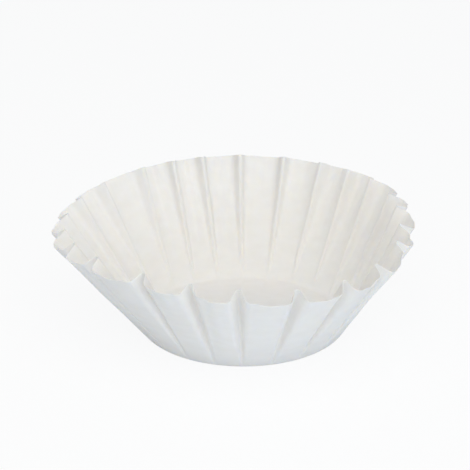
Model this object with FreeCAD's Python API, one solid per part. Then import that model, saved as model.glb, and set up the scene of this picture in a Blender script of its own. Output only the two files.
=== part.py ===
"""Flat-bottomed basket coffee filter: one round sheet of paper, pressed into a fluted cup.

The sheet lies flat over the base, turns up through a small soft corner and rises as a leaning
wall. A disc has more paper round its edge than the rim of the cup needs, so the wall takes up
the spare paper in flutes. Each flute is a narrow inward fold that opens in straight lines from
a point on the corner. A broad lobe with a flat front is left between two folds, and its base
is one side of a many-sided base plate. The edge of the disc stays at one distance from the
base, measured along the wall, so the rim dips at each lobe and rises at each fold.

A paper cup is never quite even. The folds leave the base plate at even places, but each one meets
the rim a little to one side of its even place. The rim leans over to one side of the base, and is
a little three-sided.

Paper bends but doesn't stretch, so every face of the sheet holds straight lines. Its bends are
laid out in narrow flat strips along those lines, about 13 degrees of the bend to a strip.

Origin: the centre of the underside, on the surface the filter stands on. +Z points up.
"""

import FreeCAD, Part
import math
import os
from types import SimpleNamespace

NODE = "filter_paper"

# Lengths in millimetres, angles in degrees. The depth of a flute, the angle of its flanks and
# the radii of its lobes' corners and its fold are taken on the outside of the paper, level with
# the rim. The lean and the bow are how far out they bring the rim in their own direction, which
# is turned from +X towards +Y. The bow comes back twice more round the rim, a third of a turn on.
SIZES = {
    "base_radius": 54.0,
    "disc_radius": 123.8,
    "paper_thickness": 0.2,
    "wall_angle": 60.0,
    "corner_radius": 3.0,
    "flute_count": 24,
    "flute_depth": 8.6,
    "flank_angle": 71.0,
    "lobe_corner_radius": 4.2,
    "fold_radius": 1.3,
    "lean": 6.0,
    "lean_direction": -119.0,
    "bow": 3.2,
    "bow_direction": 59.0,
}

# How far each fold is turned from its even place at the rim, in degrees, from +X towards +Y.
FOLD_SHIFTS = (
    0.6, -1.4, 1.8, 0.3, -1.9, -0.8, 1.5, 2.1,
    -0.6, -2.2, 0.9, -0.8, -2.0, -4.0, -6.0, -7.0,
    -1.8, -0.8, -1.4, 0.6, 0.8, 0.4, 1.6, -1.2,
)

# Strips to a bend: the corner over the base, a lobe's corner and a fold.
CORNER_STRIPS = 5
LOBE_STRIPS = 6
FOLD_STRIPS = 10
POINTS_PER_FLUTE = 2 * (LOBE_STRIPS + 1) + FOLD_STRIPS + 1

# Points closer than this are one point, and the edge is found in this many closing steps.
SAME_POINT = 1e-6
EDGE_STEPS = 8


def point(x, y, z=0.0):
    return FreeCAD.Vector(x, y, z)


def mirrored(spot):
    return point(spot.x, -spot.y, spot.z)


def add_sizes(doc):
    """Put the driving sizes in a sheet and return what the sheet then holds."""
    sheet = doc.addObject("Spreadsheet::Sheet", "Sizes")
    for row, (name, number) in enumerate(SIZES.items(), 1):
        sheet.set(f"A{row}", name)
        sheet.set(f"B{row}", str(number))
        sheet.setAlias(f"B{row}", name)
    doc.recompute()
    return SimpleNamespace(**{name: float(sheet.get(name)) for name in SIZES})


def lay_out(size):
    """Work out the planes, levels and bend centres of the flute that is centred on +X."""
    wall_lean = math.radians(size.wall_angle)
    flute_count = round(size.flute_count)
    pitch = 360.0 / flute_count
    half_turn = math.pi / flute_count
    flank = math.radians(size.flank_angle)
    wall_length = size.disc_radius - size.base_radius
    rim_height = wall_length * math.sin(wall_lean)
    rim_radius = size.base_radius + wall_length * math.cos(wall_lean)
    reach = rim_radius + size.flute_depth / 2

    side = size.base_radius * math.cos(half_turn)
    front_lean = math.atan2(rim_height, reach - side)
    flat = side - size.corner_radius * math.tan(front_lean / 2)
    root_height = size.corner_radius * (1 - math.cos(front_lean))
    root_side = flat + size.corner_radius * math.sin(front_lean)

    fold = point(rim_radius - size.flute_depth / 2 + size.fold_radius, 0)
    bends = size.fold_radius + size.lobe_corner_radius
    start = fold + point(-math.cos(flank), math.sin(flank)) * bends
    outward = point(math.cos(half_turn), math.sin(half_turn))
    run = (reach - size.lobe_corner_radius - start.dot(outward)) / math.sin(flank + half_turn)
    lobe = start + point(math.sin(flank), math.cos(flank)) * run
    return SimpleNamespace(
        size=size,
        flute_count=flute_count,
        pitch=pitch,
        wall_lean=wall_lean,
        half_turn=half_turn,
        flank=flank,
        front_lean=front_lean,
        flat=flat,
        root=point(root_side / math.cos(half_turn), 0),
        root_height=root_height,
        rim_height=rim_height,
        rim_reach=size.base_radius * math.cos(wall_lean) + wall_length,
        fold=fold,
        lobe=lobe,
    )


def corner_row(paper, depth, share):
    """The base plate's corner beside one flute, at a share of the turn from floor to wall.

    The paper lies at a depth under its outside: all the points of the flute fall together.
    """
    turn = share * paper.front_lean
    radius = paper.size.corner_radius - depth
    side = paper.flat + radius * math.sin(turn)
    height = paper.size.corner_radius - radius * math.cos(turn)
    return [point(side / math.cos(paper.half_turn), 0, height)] * POINTS_PER_FLUTE


def flute_row(paper, depth, share):
    """One flute cut level, at a share of its height, at a level depth under its outside."""
    height = point(0, 0, paper.root_height + share * (paper.rim_height - paper.root_height))
    fold = paper.root + (paper.fold - paper.root) * share + height
    lobe = paper.root + (paper.lobe - paper.root) * share + height
    fold_radius = share * paper.size.fold_radius + depth
    lobe_radius = share * paper.size.lobe_corner_radius - depth
    turns = [2 * paper.flank * step / FOLD_STRIPS - paper.flank for step in range(FOLD_STRIPS + 1)]
    folded = [fold + point(-math.cos(turn), math.sin(turn)) * fold_radius for turn in turns]
    sweep = paper.flank + paper.half_turn
    turns = [sweep * step / LOBE_STRIPS - paper.flank for step in range(LOBE_STRIPS + 1)]
    rounded = [lobe + point(math.cos(turn), math.sin(turn)) * lobe_radius for turn in turns]
    return [mirrored(spot) for spot in reversed(rounded)] + folded + rounded


def way_out(paper, spot):
    """How far a point lies out along the wall, whatever its depth under the wall's face."""
    return math.hypot(spot.x, spot.y) * math.cos(paper.wall_lean) + spot.z * math.sin(paper.wall_lean)


def rim_shares(paper, starts, ends):
    """The share of each straight line of the paper at which it meets the disc's edge."""
    shares = []
    for low, high in zip(starts, ends):
        rise = way_out(paper, high) - way_out(paper, low)
        share = 1.0
        for _ in range(EDGE_STEPS):
            share += (paper.rim_reach - way_out(paper, low + (high - low) * share)) / rise
        shares.append(share)
    return shares


def turned(degrees):
    return FreeCAD.Rotation(point(0, 0, 1), degrees)


def all_round(paper, row):
    """Copy one flute's row of points round the axis, at even places."""
    copies = []
    for number in range(paper.flute_count):
        turn = turned(number * paper.pitch)
        copies += [turn.multVec(spot) for spot in row]
    return copies


def lean_at(paper, direction):
    """How far the wall swings out about the base's edge in one direction, in degrees."""
    size = paper.size
    lean = size.lean * math.cos(math.radians(direction - size.lean_direction))
    bow = size.bow * math.cos(math.radians(3 * (direction - size.bow_direction)))
    return math.degrees((lean + bow) / paper.rim_height)


def strayed(paper, starts, ends):
    """Copy one flute's lines round the axis, as starts and ends, with each flute's own stray.

    A flute strays as a stiff piece: its fold is turned about the axis, and it swings with the wall
    about the base's edge. Its root stays in its even place.
    """
    root = point(paper.root.x, 0, paper.root_height)
    hinge = point(paper.size.base_radius, 0, 0)
    low, high = [], []
    for number in range(paper.flute_count):
        even = number * paper.pitch
        direction = even + FOLD_SHIFTS[number % len(FOLD_SHIFTS)]
        swing = FreeCAD.Rotation(point(0, 1, 0), lean_at(paper, direction))
        turn = turned(direction)
        stray = turn.multiply(swing)
        place = turned(even).multVec(root)
        low += [place + stray.multVec(spot - root) for spot in starts]
        high += [turn.multVec(hinge) + stray.multVec(spot - hinge) for spot in ends]
    return low, high


def flat_face(corners):
    return Part.Face(Part.makePolygon(corners + corners[:1]))


def distinct(corners):
    """Leave out each point that falls on the one before it."""
    following = corners[1:] + corners[:1]
    return [spot for spot, after in zip(corners, following) if spot.distanceToPoint(after) > SAME_POINT]


def is_flat(corners):
    across = (corners[1] - corners[0]).cross(corners[2] - corners[0])
    return abs(across.normalize().dot(corners[3] - corners[0])) < SAME_POINT


def band(low, high):
    """The strips of paper between two rows of points: flat, or two triangles where one is twisted."""
    faces = []
    for number in range(len(low)):
        after = (number + 1) % len(low)
        corners = distinct([low[number], low[after], high[after], high[number]])
        if len(corners) == 4 and not is_flat(corners):
            faces += [flat_face(corners[:3]), flat_face([corners[0]] + corners[2:])]
        elif len(corners) > 2:
            faces.append(flat_face(corners))
    return faces


def sheet_side(paper, depth):
    """One side of the paper, at a depth under its outside: its rows of points up to the cut edge."""
    level_depth = depth / math.sin(paper.front_lean)
    starts = flute_row(paper, level_depth, 0)
    ends = flute_row(paper, level_depth, 1)
    edge = rim_shares(paper, starts, ends) * paper.flute_count
    first_bend = [level_depth / paper.size.lobe_corner_radius] * len(edge)

    shares = [step / CORNER_STRIPS for step in range(CORNER_STRIPS + 1)]
    rows = [all_round(paper, corner_row(paper, depth, share)) for share in shares]
    starts, ends = strayed(paper, starts, ends)
    for shares in (first_bend, edge):
        rows.append([low + (high - low) * share for low, high, share in zip(starts, ends, shares)])
    return rows


def fold_sheet(paper):
    """The whole sheet: both sides of the paper and the cut edge between them."""
    outside = sheet_side(paper, 0)
    inside = sheet_side(paper, paper.size.paper_thickness)
    faces = [flat_face(distinct(outside[0])), flat_face(distinct(inside[0]))]
    for rows in (outside, inside):
        for low, high in zip(rows, rows[1:]):
            faces += band(low, high)
    faces += band(outside[-1], inside[-1])
    shell = Part.makeShell(faces)
    shell.sewShape()
    return Part.makeSolid(shell)


def check(doc):
    """Stop where an object failed to build or the paper is not one sound solid."""
    for thing in doc.Objects:
        if "Invalid" in thing.State or "Error" in thing.State:
            raise RuntimeError(f"{thing.Label} did not build")
    shape = doc.getObject(NODE).Shape
    if shape.isNull() or not shape.isValid() or len(shape.Solids) != 1 or shape.Volume <= 0:
        raise RuntimeError(f"{NODE} is not one sound solid")


def build():
    doc = FreeCAD.newDocument("basket_coffee_filter")
    paper = lay_out(add_sizes(doc))
    sheet = doc.addObject("Part::Feature", NODE)
    sheet.Label = NODE
    sheet.Shape = fold_sheet(paper)
    sheet.Placement = FreeCAD.Placement()
    doc.recompute()
    check(doc)
    return doc


def write(doc):
    os.makedirs("parts", exist_ok=True)
    doc.getObject(NODE).Shape.exportStep(f"parts/{NODE}.step")


write(build())
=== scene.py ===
import math

import bpy
import numpy as np
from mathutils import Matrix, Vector, noise


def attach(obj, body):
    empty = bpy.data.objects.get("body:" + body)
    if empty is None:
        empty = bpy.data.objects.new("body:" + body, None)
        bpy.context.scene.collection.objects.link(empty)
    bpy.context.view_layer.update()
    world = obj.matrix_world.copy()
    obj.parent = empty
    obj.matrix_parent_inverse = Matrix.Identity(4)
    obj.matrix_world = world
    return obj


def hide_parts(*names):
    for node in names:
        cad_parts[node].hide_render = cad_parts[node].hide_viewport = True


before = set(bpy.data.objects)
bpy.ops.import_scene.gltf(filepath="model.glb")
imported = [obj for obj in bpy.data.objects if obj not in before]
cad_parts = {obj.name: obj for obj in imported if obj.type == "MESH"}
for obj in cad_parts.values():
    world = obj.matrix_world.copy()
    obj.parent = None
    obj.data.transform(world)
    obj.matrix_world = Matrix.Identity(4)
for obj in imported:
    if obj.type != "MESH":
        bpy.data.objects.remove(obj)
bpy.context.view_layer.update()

MM = 0.001
SEED = 27

# The sheet, as the solid has it. Depths and radii are level with the rim.
BASE_RADIUS = 54.0 * MM
DISC_RADIUS = 123.8 * MM
THICKNESS = 0.2 * MM
WALL_ANGLE = math.radians(60.0)
CORNER_RADIUS = 3.0 * MM
FLUTES = 24
FLUTE_DEPTH = 8.6 * MM
FLANK_ANGLE = math.radians(71.0)
LOBE_RADIUS = 4.2 * MM
FOLD_RADIUS = 1.3 * MM
LEAN = 6.0 * MM
LEAN_DIRECTION = math.radians(-119.0)
BOW = 3.2 * MM
BOW_DIRECTION = math.radians(59.0)

# How far each fold is turned from its even place at the rim, in degrees, from +X towards +Y.
FOLD_SHIFTS = (
    0.6, -1.4, 1.8, 0.3, -1.9, -0.8, 1.5, 2.1,
    -0.6, -2.2, 0.9, -0.8, -2.0, -4.0, -6.0, -7.0,
    -1.8, -0.8, -1.4, 0.6, 0.8, 0.4, 1.6, -1.2,
)

WALL = DISC_RADIUS - BASE_RADIUS
RIM_RADIUS = BASE_RADIUS + WALL * math.cos(WALL_ANGLE)
RIM_HEIGHT = WALL * math.sin(WALL_ANGLE)
REACH = RIM_RADIUS + FLUTE_DEPTH / 2
PITCH = 2 * math.pi / FLUTES
HALF_PITCH = PITCH / 2

# The corner over the base, in the middle of the paper's thickness.
MIDDLE = THICKNESS / 2
FRONT_LEAN = math.atan2(RIM_HEIGHT, REACH - BASE_RADIUS)
FLAT = BASE_RADIUS - CORNER_RADIUS * math.tan(FRONT_LEAN / 2)
BEND = CORNER_RADIUS - MIDDLE
ROOT_RADIUS = FLAT + BEND * math.sin(FRONT_LEAN)
ROOT_HEIGHT = CORNER_RADIUS - BEND * math.cos(FRONT_LEAN)

# Points to half a fold, a flank, a lobe's corner and a lobe's front, and rows of points up the
# wall, round the corner and over the base.
FOLD_POINTS = 5
FLANK_POINTS = 2
LOBE_POINTS = 7
FRONT_POINTS = 6
WALL_ROWS = 42
CORNER_ROWS = 5
BASE_ROWS = 6

# The disc's edge is found on each line of the wall in this many closing steps, and what is
# shorter than this has no direction.
EDGE_STEPS = 8
NO_LENGTH = 1e-12

# The share of its pitch that a flute takes up where it starts, on the corner over the base.
ROOT_SPREAD = 0.22

# How far a flute may stray: the shares by which its fold's depth and its lobes' depth may change,
# the share of its depth by which its fold may sway to one side, and how far its lines may bend.
FOLD_DEPTH_CHANGE = 0.14
LOBE_DEPTH_CHANGE = 0.10
FOLD_SWAY = 0.16
FOLD_BEND = 0.55 * MM

# How far every front swells out at the rim, and how far each may swell in or out half-way up.
FRONT_CROWN = 1.3 * MM
FRONT_BULGE = 0.6 * MM

# The paper's soft dents, long streaks and fine crinkle. Each has its size round the sheet, a factor
# on the distance up the wall, under 1 where it is drawn out that way, and its height.
RELIEF = (
    (15.0 * MM, 1.0, 0.3 * MM),
    (5.0 * MM, 0.16, 0.16 * MM),
    (2.4 * MM, 0.4, 0.05 * MM),
)

# The relief rises to its full height over this much of the wall. Each kind of relief lies this far
# from the one before it in the noise.
RELIEF_RISE = 14.0 * MM
NOISE_STEP = Vector((3.7, 1.3, 5.1))


def smooth(share):
    """A share from 0 to 1 that starts and stops softly."""
    share = np.clip(share, 0.0, 1.0)
    return share * share * (3 - 2 * share)


def inner_shares(count):
    """Even shares of a way, without its two ends, one to a row."""
    return np.arange(1, count + 1)[:, None] / (count + 1)


def between(first, last, count):
    """Evenly spaced values between two others, without the two."""
    return first + (last - first) * inner_shares(count)


def level_ways(directions):
    """Level ways out from the axis, of length 1, in the given directions."""
    return np.stack([np.cos(directions), np.sin(directions), np.zeros_like(directions)], -1)


def turned(spots, angle):
    """Points turned about the axis."""
    x, y = spots[..., 0], spots[..., 1]
    cosine, sine = np.cos(angle), np.sin(angle)
    return np.stack([x * cosine - y * sine, x * sine + y * cosine, spots[..., 2]], -1)


def flute():
    """One flute level with the rim, from a lobe's corner over the fold to the next lobe's corner.

    The points are outward and sideways of the axis, in the middle of the paper's thickness.
    """
    fold = np.array([RIM_RADIUS - FLUTE_DEPTH / 2 + FOLD_RADIUS, 0.0])
    bends = FOLD_RADIUS + LOBE_RADIUS
    start = fold + np.array([-math.cos(FLANK_ANGLE), math.sin(FLANK_ANGLE)]) * bends
    front_way = np.array([math.cos(HALF_PITCH), math.sin(HALF_PITCH)])
    run = (REACH - LOBE_RADIUS - start @ front_way) / math.sin(FLANK_ANGLE + HALF_PITCH)
    lobe = start + np.array([math.sin(FLANK_ANGLE), math.cos(FLANK_ANGLE)]) * run

    turns = np.linspace(0, FLANK_ANGLE, FOLD_POINTS)
    folded = fold + np.stack([-np.cos(turns), np.sin(turns)], 1) * (FOLD_RADIUS + MIDDLE)
    turns = np.linspace(-FLANK_ANGLE, HALF_PITCH, LOBE_POINTS)
    rounded = lobe + np.stack([np.cos(turns), np.sin(turns)], 1) * (LOBE_RADIUS - MIDDLE)
    half = np.vstack([folded, between(folded[-1], rounded[0], FLANK_POINTS), rounded])
    return np.vstack([half[:0:-1] * [1, -1], half])


def misshapen(spots, fold_depth, lobe_depth, sway):
    """One flute's points with its own depth, and its fold pushed to one side."""
    depth = spots[:, 0] - RIM_RADIUS
    inward, outward = np.minimum(depth, 0), np.maximum(depth, 0)
    x = RIM_RADIUS + inward * (1 + fold_depth) + outward * (1 + lobe_depth)
    return np.stack([x, spots[:, 1] - sway * inward], 1)


def leant(spots, direction):
    """Points of a flute on +X, swung out about the base's edge as the wall leans in a direction."""
    lean = LEAN * math.cos(direction - LEAN_DIRECTION)
    bow = BOW * math.cos(3 * (direction - BOW_DIRECTION))
    swing = (lean + bow) / RIM_HEIGHT
    out, up = spots[:, 0] - BASE_RADIUS, spots[:, 2]
    far = BASE_RADIUS + out * math.cos(swing) + up * math.sin(swing)
    high = up * math.cos(swing) - out * math.sin(swing)
    return np.stack([far, spots[:, 1], high], 1)


def all_flutes(rng):
    """Each flute's even ends, its strayed ends and the way in which its lines bend."""
    spots = flute()
    level = np.full((len(spots), 1), RIM_HEIGHT)
    even, ends, bends = [], [], []
    for number in range(FLUTES):
        fold_depth, lobe_depth, sway, bend = rng.uniform(-1, 1, 4)
        direction = number * PITCH + math.radians(FOLD_SHIFTS[number])
        own = misshapen(
            spots,
            fold_depth * FOLD_DEPTH_CHANGE,
            lobe_depth * LOBE_DEPTH_CHANGE,
            sway * FOLD_SWAY,
        )
        even.append(turned(np.hstack([spots, level]), number * PITCH))
        ends.append(turned(leant(np.hstack([own, level]), direction), direction))
        sideways = level_ways(direction + math.pi / 2)
        bends.append(np.tile(sideways * bend * FOLD_BEND, (len(spots), 1)))
    return even, ends, bends


def swell(number, height):
    """A soft swell across the front after one flute, out from the axis."""
    outward = level_ways((number + 0.5) * PITCH)
    return np.sin(math.pi * inner_shares(FRONT_POINTS)) ** 2 * height * outward


def with_fronts(flutes, heights):
    """Values for every column of the sheet: those of the flutes, and over the fronts between them.

    Each front goes by even steps from one flute to the next, and swells by its own height.
    """
    rows = []
    for number, values in enumerate(flutes):
        after = flutes[(number + 1) % len(flutes)]
        front = between(values[-1], after[0], FRONT_POINTS)
        rows += [values, front + swell(number, heights[number])]
    return np.vstack(rows)


def root_directions(count):
    """Each column's direction over the base: close together in a flute, wider across a front."""
    spread = np.linspace(-1, 1, count) * ROOT_SPREAD * HALF_PITCH
    gap = PITCH * (1 - ROOT_SPREAD)
    directions = []
    for number in range(FLUTES):
        own = spread + number * PITCH
        directions += [own, between(own[-1], own[-1] + gap, FRONT_POINTS).ravel()]
    return np.concatenate(directions)


def edge_shares(starts, ends):
    """The share of each straight line at which it meets the edge of the disc."""
    edge = BASE_RADIUS * math.cos(WALL_ANGLE) + WALL
    shares = np.ones(len(starts))
    for _ in range(EDGE_STEPS):
        spots = starts + (ends - starts) * shares[:, None]
        out = np.hypot(spots[:, 0], spots[:, 1])
        way = out * math.cos(WALL_ANGLE) + spots[:, 2] * math.sin(WALL_ANGLE)
        shares += (edge - way) / WALL
    return shares


def all_columns(rng):
    """Every column's straight line, from its start on the corner to its end level with the rim.

    Also returned are the way in which it bends, its direction over the base, its share of the
    line at the disc's edge and its place round the flat paper.
    """
    even, ends, bends = all_flutes(rng)
    directions = root_directions(len(even[0]))
    starts = ROOT_RADIUS * level_ways(directions) + [0, 0, ROOT_HEIGHT]
    crowns = np.full(FLUTES, FRONT_CROWN)
    bulges = rng.uniform(-1, 1, FLUTES) * FRONT_BULGE
    even = with_fronts(even, crowns)
    steps = np.linalg.norm(np.roll(even, -1, axis=0) - even, axis=1)
    along = np.cumsum(steps) - steps
    return {
        "starts": starts,
        "ends": with_fronts(ends, crowns),
        "bends": with_fronts(bends, bulges),
        "directions": directions,
        "edge": edge_shares(starts, even),
        "paper": 2 * math.pi * along / steps.sum(),
    }


def sheet_grid(columns):
    """The middle of the sheet as rows of points, with each row's distance from the disc's middle."""
    ways = level_ways(columns["directions"])
    base_shares = np.arange(1, BASE_ROWS + 1) / BASE_ROWS
    corner_turns = FRONT_LEAN * np.arange(1, CORNER_ROWS + 1) / CORNER_ROWS
    wall_shares = np.arange(1, WALL_ROWS + 1) / WALL_ROWS

    rows = [ways * FLAT * share + [0, 0, MIDDLE] for share in base_shares]
    for turn in corner_turns:
        height = CORNER_RADIUS - BEND * math.cos(turn)
        rows.append(ways * (FLAT + BEND * math.sin(turn)) + [0, 0, height])
    lines = (columns["ends"] - columns["starts"]) * columns["edge"][:, None]
    for share in wall_shares:
        bent = columns["bends"] * math.sin(math.pi * share)
        rows.append(columns["starts"] + lines * share + bent)

    corner = BEND * FRONT_LEAN
    distance = np.concatenate([
        FLAT * base_shares,
        FLAT + BEND * corner_turns,
        FLAT + corner + (DISC_RADIUS - FLAT - corner) * wall_shares,
    ])
    return np.array(rows), distance


def normals_of(grid):
    """The outward direction of the sheet at each of its points."""
    around = np.roll(grid, -1, axis=1) - np.roll(grid, 1, axis=1)
    up = np.gradient(grid, axis=0)
    across = np.cross(around, up)
    return across / np.maximum(np.linalg.norm(across, axis=2, keepdims=True), NO_LENGTH)


def ripple(places, size, number):
    """Smooth noise of one size over a grid of places."""
    offset = NOISE_STEP * number
    heights = [noise.noise(Vector(place) / size + offset) for place in places.reshape(-1, 3)]
    return np.reshape(heights, places.shape[:2])


def relief(columns, distance):
    """How far the dents, streaks and crinkle stand out at each point of the sheet."""
    places = RIM_RADIUS * level_ways(columns["paper"]) + distance[:, None, None] * [0, 0, 1]
    total = np.zeros(places.shape[:2])
    for number, (size, factor, height) in enumerate(RELIEF, 1):
        total += height * ripple(places * [1, 1, factor], size, number)
    return total * smooth((distance - BASE_RADIUS) / RELIEF_RISE)[:, None]


def closed_sheet(grid):
    """Points and faces of the paper with its thickness: its outside, its inside and the cut edge.

    The base lies flat on the floor, and its middle is one point on each side of the paper.
    """
    rows, count = grid.shape[:2]
    normals = normals_of(grid)
    outside = grid + normals * THICKNESS / 2
    inside = grid - normals * THICKNESS / 2
    outside[:BASE_ROWS, :, 2] -= outside[:BASE_ROWS, :, 2].min()
    middle = [[0, 0, outside[0, 0, 2]], [0, 0, inside[0, :, 2].mean()]]
    points = np.vstack([outside.reshape(-1, 3), inside.reshape(-1, 3), middle])

    side = rows * count
    number = np.arange(side).reshape(rows, count)
    after = np.roll(number, -1, axis=1)
    quads = np.stack([number[:-1], after[:-1], after[1:], number[1:]], 2).reshape(-1, 4)
    back = quads[:, ::-1] + side
    edge = np.stack([number[-1], after[-1], after[-1] + side, number[-1] + side], 1)
    fan = np.stack([np.full(count, 2 * side), after[0], number[0]], 1)
    fan_back = np.stack([np.full(count, 2 * side + 1), number[0] + side, after[0] + side], 1)
    faces = [face for part in (quads, back, edge, fan, fan_back) for face in part.tolist()]
    return points, faces


def flat_places(columns, distance):
    """Where each point of the sheet lay when the paper was a flat disc."""
    one_side = (distance[:, None, None] * level_ways(columns["paper"])).reshape(-1, 3)
    return np.vstack([one_side, one_side, np.zeros((2, 3))])


def sharp_rim(mesh, rows, count):
    """Keep the cut edge of the paper crisp."""
    first, last = (rows - 1) * count, rows * count
    inner_first, inner_last = first + rows * count, last + rows * count
    ends = np.zeros(len(mesh.edges) * 2, np.int32)
    mesh.edges.foreach_get("vertices", ends)
    ends = ends.reshape(-1, 2)
    outer = ((ends >= first) & (ends < last)).all(axis=1)
    inner = ((ends >= inner_first) & (ends < inner_last)).all(axis=1)
    sharp = mesh.attributes.new("sharp_edge", "BOOLEAN", "EDGE")
    sharp.data.foreach_set("value", outer | inner)


def make_sheet():
    """The fluted paper, which keeps its place on the flat disc for the grain of its material."""
    columns = all_columns(np.random.default_rng(SEED))
    grid, distance = sheet_grid(columns)
    grid = grid + normals_of(grid) * relief(columns, distance)[:, :, None]
    points, faces = closed_sheet(grid)
    mesh = bpy.data.meshes.new("fluted_paper")
    mesh.from_pydata(points.tolist(), [], faces)
    mesh.validate()
    mesh.shade_smooth()
    places = mesh.attributes.new("flat_place", "FLOAT_VECTOR", "POINT")
    places.data.foreach_set("vector", flat_places(columns, distance).astype(np.float32).ravel())
    sharp_rim(mesh, *grid.shape[:2])
    sheet = bpy.data.objects.new("fluted_paper", mesh)
    bpy.context.scene.collection.objects.link(sheet)
    return sheet


def add_noise(tree, place, scale, detail):
    texture = tree.nodes.new("ShaderNodeTexNoise")
    texture.inputs["Scale"].default_value = scale
    texture.inputs["Detail"].default_value = detail
    tree.links.new(place, texture.inputs["Vector"])
    return texture.outputs["Fac"]


def add_bump(tree, height, strength, depth):
    bump = tree.nodes.new("ShaderNodeBump")
    bump.inputs["Strength"].default_value = strength
    bump.inputs["Distance"].default_value = depth
    tree.links.new(height, bump.inputs["Height"])
    return bump


def add_mix(tree, share, first, second):
    mix = tree.nodes.new("ShaderNodeMixShader")
    tree.links.new(share, mix.inputs["Fac"])
    tree.links.new(first, mix.inputs[1])
    tree.links.new(second, mix.inputs[2])
    return mix.outputs["Shader"]


def paper_material():
    """Matte paper that light soaks into, with faint clouds, a crepe one way across it, and fibres."""
    material = bpy.data.materials.new("filter_paper")
    material.use_nodes = True
    tree = material.node_tree
    shader = tree.nodes["Principled BSDF"]
    shader.inputs["Roughness"].default_value = 0.92
    shader.inputs["Specular IOR Level"].default_value = 0.2
    shader.inputs["Subsurface Weight"].default_value = 0.7
    shader.inputs["Subsurface Radius"].default_value = (1.0, 0.82, 0.6)
    shader.inputs["Subsurface Scale"].default_value = 0.7 * MM

    attribute = tree.nodes.new("ShaderNodeAttribute")
    attribute.attribute_name = "flat_place"
    flat_place = attribute.outputs["Vector"]

    tint = tree.nodes.new("ShaderNodeValToRGB")
    darker, lighter = tint.color_ramp.elements
    darker.position = 0.3
    darker.color = (0.89, 0.868, 0.842, 1)
    lighter.position = 0.7
    lighter.color = (0.918, 0.9, 0.88, 1)
    clouds = add_noise(tree, flat_place, scale=170.0, detail=4.0)
    tree.links.new(clouds, tint.inputs["Fac"])
    tree.links.new(tint.outputs["Color"], shader.inputs["Base Color"])

    stretch = tree.nodes.new("ShaderNodeMapping")
    stretch.inputs["Scale"].default_value = (1300.0, 170.0, 1.0)
    tree.links.new(flat_place, stretch.inputs["Vector"])
    crepe = add_noise(tree, stretch.outputs["Vector"], scale=1.0, detail=2.0)
    crepe_bump = add_bump(tree, crepe, strength=0.35, depth=0.08 * MM)
    fibres = add_noise(tree, flat_place, scale=2600.0, detail=3.0)
    fibre_bump = add_bump(tree, fibres, strength=0.3, depth=0.04 * MM)
    tree.links.new(crepe_bump.outputs["Normal"], fibre_bump.inputs["Normal"])
    tree.links.new(fibre_bump.outputs["Normal"], shader.inputs["Normal"])
    return material


def seen_straight(tree):
    """1 on rays that show a surface itself: from the camera, or in gloss or glass."""
    path = tree.nodes.new("ShaderNodeLightPath")
    seen = path.outputs["Is Camera Ray"]
    for name in ("Is Glossy Ray", "Is Transmission Ray"):
        both = tree.nodes.new("ShaderNodeMath")
        both.operation = "MAXIMUM"
        tree.links.new(seen, both.inputs[0])
        tree.links.new(path.outputs[name], both.inputs[1])
        seen = both.outputs[0]
    return seen


def make_floor():
    """A plain pale floor that shows nearly white and keeps the filter's soft shadow."""
    reach = 6.0
    white_share = 0.9
    mesh = bpy.data.meshes.new("floor")
    corners = [(-reach, -reach, 0), (reach, -reach, 0), (reach, reach, 0), (-reach, reach, 0)]
    mesh.from_pydata(corners, [], [(0, 1, 2, 3)])
    floor = bpy.data.objects.new("floor", mesh)
    bpy.context.scene.collection.objects.link(floor)

    material = bpy.data.materials.new("floor")
    material.use_nodes = True
    tree = material.node_tree
    tree.nodes.clear()
    diffuse = tree.nodes.new("ShaderNodeBsdfDiffuse")
    diffuse.inputs["Color"].default_value = (0.83, 0.88, 0.94, 1)
    white = tree.nodes.new("ShaderNodeEmission")
    white.inputs["Strength"].default_value = 1.0
    share = tree.nodes.new("ShaderNodeMath")
    share.operation = "MULTIPLY"
    share.inputs[1].default_value = white_share
    tree.links.new(seen_straight(tree), share.inputs[0])
    mix = add_mix(tree, share.outputs[0], diffuse.outputs["BSDF"], white.outputs["Emission"])
    out = tree.nodes.new("ShaderNodeOutputMaterial")
    tree.links.new(mix, out.inputs["Surface"])
    mesh.materials.append(material)


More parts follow.
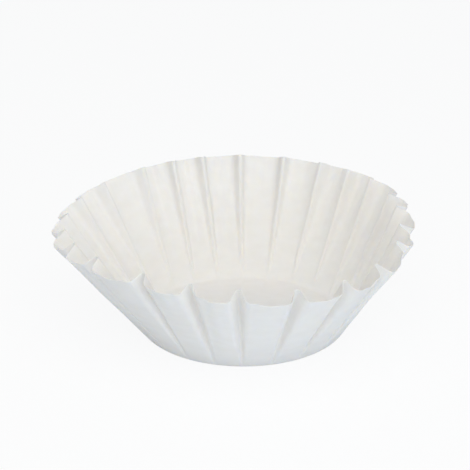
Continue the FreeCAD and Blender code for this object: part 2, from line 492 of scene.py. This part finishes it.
def make_world():
    """Even, faintly cool light all round, with a white background behind the floor."""
    world = bpy.data.worlds.new("studio")
    bpy.context.scene.world = world
    world.use_nodes = True
    tree = world.node_tree
    tree.nodes.clear()
    light = tree.nodes.new("ShaderNodeBackground")
    light.inputs["Color"].default_value = (0.88, 0.94, 1.0, 1)
    light.inputs["Strength"].default_value = 0.45
    white = tree.nodes.new("ShaderNodeBackground")
    white.inputs["Strength"].default_value = 1.0
    mix = add_mix(tree, seen_straight(tree), light.outputs["Background"], white.outputs["Background"])
    out = tree.nodes.new("ShaderNodeOutputWorld")
    tree.links.new(mix, out.inputs["Surface"])


def softbox(name, place, aim, size, watts, colour):
    lamp = bpy.data.lights.new(name, "AREA")
    lamp.shape = "SQUARE"
    lamp.size = size
    lamp.energy = watts
    lamp.color = colour
    thing = bpy.data.objects.new(name, lamp)
    thing.location = place
    thing.rotation_euler = (Vector(aim) - Vector(place)).to_track_quat("-Z", "Y").to_euler()
    bpy.context.scene.collection.objects.link(thing)


def make_lights():
    """A large warm light from above, and a cool one low in front that fills the outside."""
    softbox(
        "key", place=(0.1, -0.7, 0.95), aim=(0, 0, 0.03), size=1.4, watts=10.1,
        colour=(1.0, 0.915, 0.79),
    )
    softbox(
        "front", place=(0.6, -1.1, 0.0), aim=(0, 0, 0.02), size=0.7, watts=4.3,
        colour=(0.77, 0.88, 1.0),
    )


def make_camera():
    """The photograph's view: where the base's middle lies in its frame sets the aim."""
    frame_side = 470.0
    focal_pixels = 1440.0
    base_pixel = (243.1, 319.6)
    distance = 0.768
    elevation = math.radians(26.0)
    sensor = 36.0

    back = Vector((0, -math.cos(elevation), math.sin(elevation)))
    up = Vector((0, math.sin(elevation), math.cos(elevation)))
    side = (frame_side / 2 - base_pixel[0]) / focal_pixels * distance
    rise = (base_pixel[1] - frame_side / 2) / focal_pixels * distance
    aim = Vector((side, 0, 0)) + up * rise

    camera = bpy.data.cameras.new("camera")
    camera.sensor_width = sensor
    camera.lens = focal_pixels / frame_side * sensor
    camera.clip_start = 0.01
    thing = bpy.data.objects.new("camera", camera)
    thing.location = back * distance
    thing.rotation_euler = (aim - thing.location).to_track_quat("-Z", "Y").to_euler()
    bpy.context.scene.collection.objects.link(thing)
    bpy.context.scene.camera = thing


paper = make_sheet()
paper.data.materials.append(paper_material())
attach(paper, "root")
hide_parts("filter_paper")

make_floor()
make_world()
make_lights()
make_camera()
bpy.context.scene.view_settings.view_transform = "Standard"
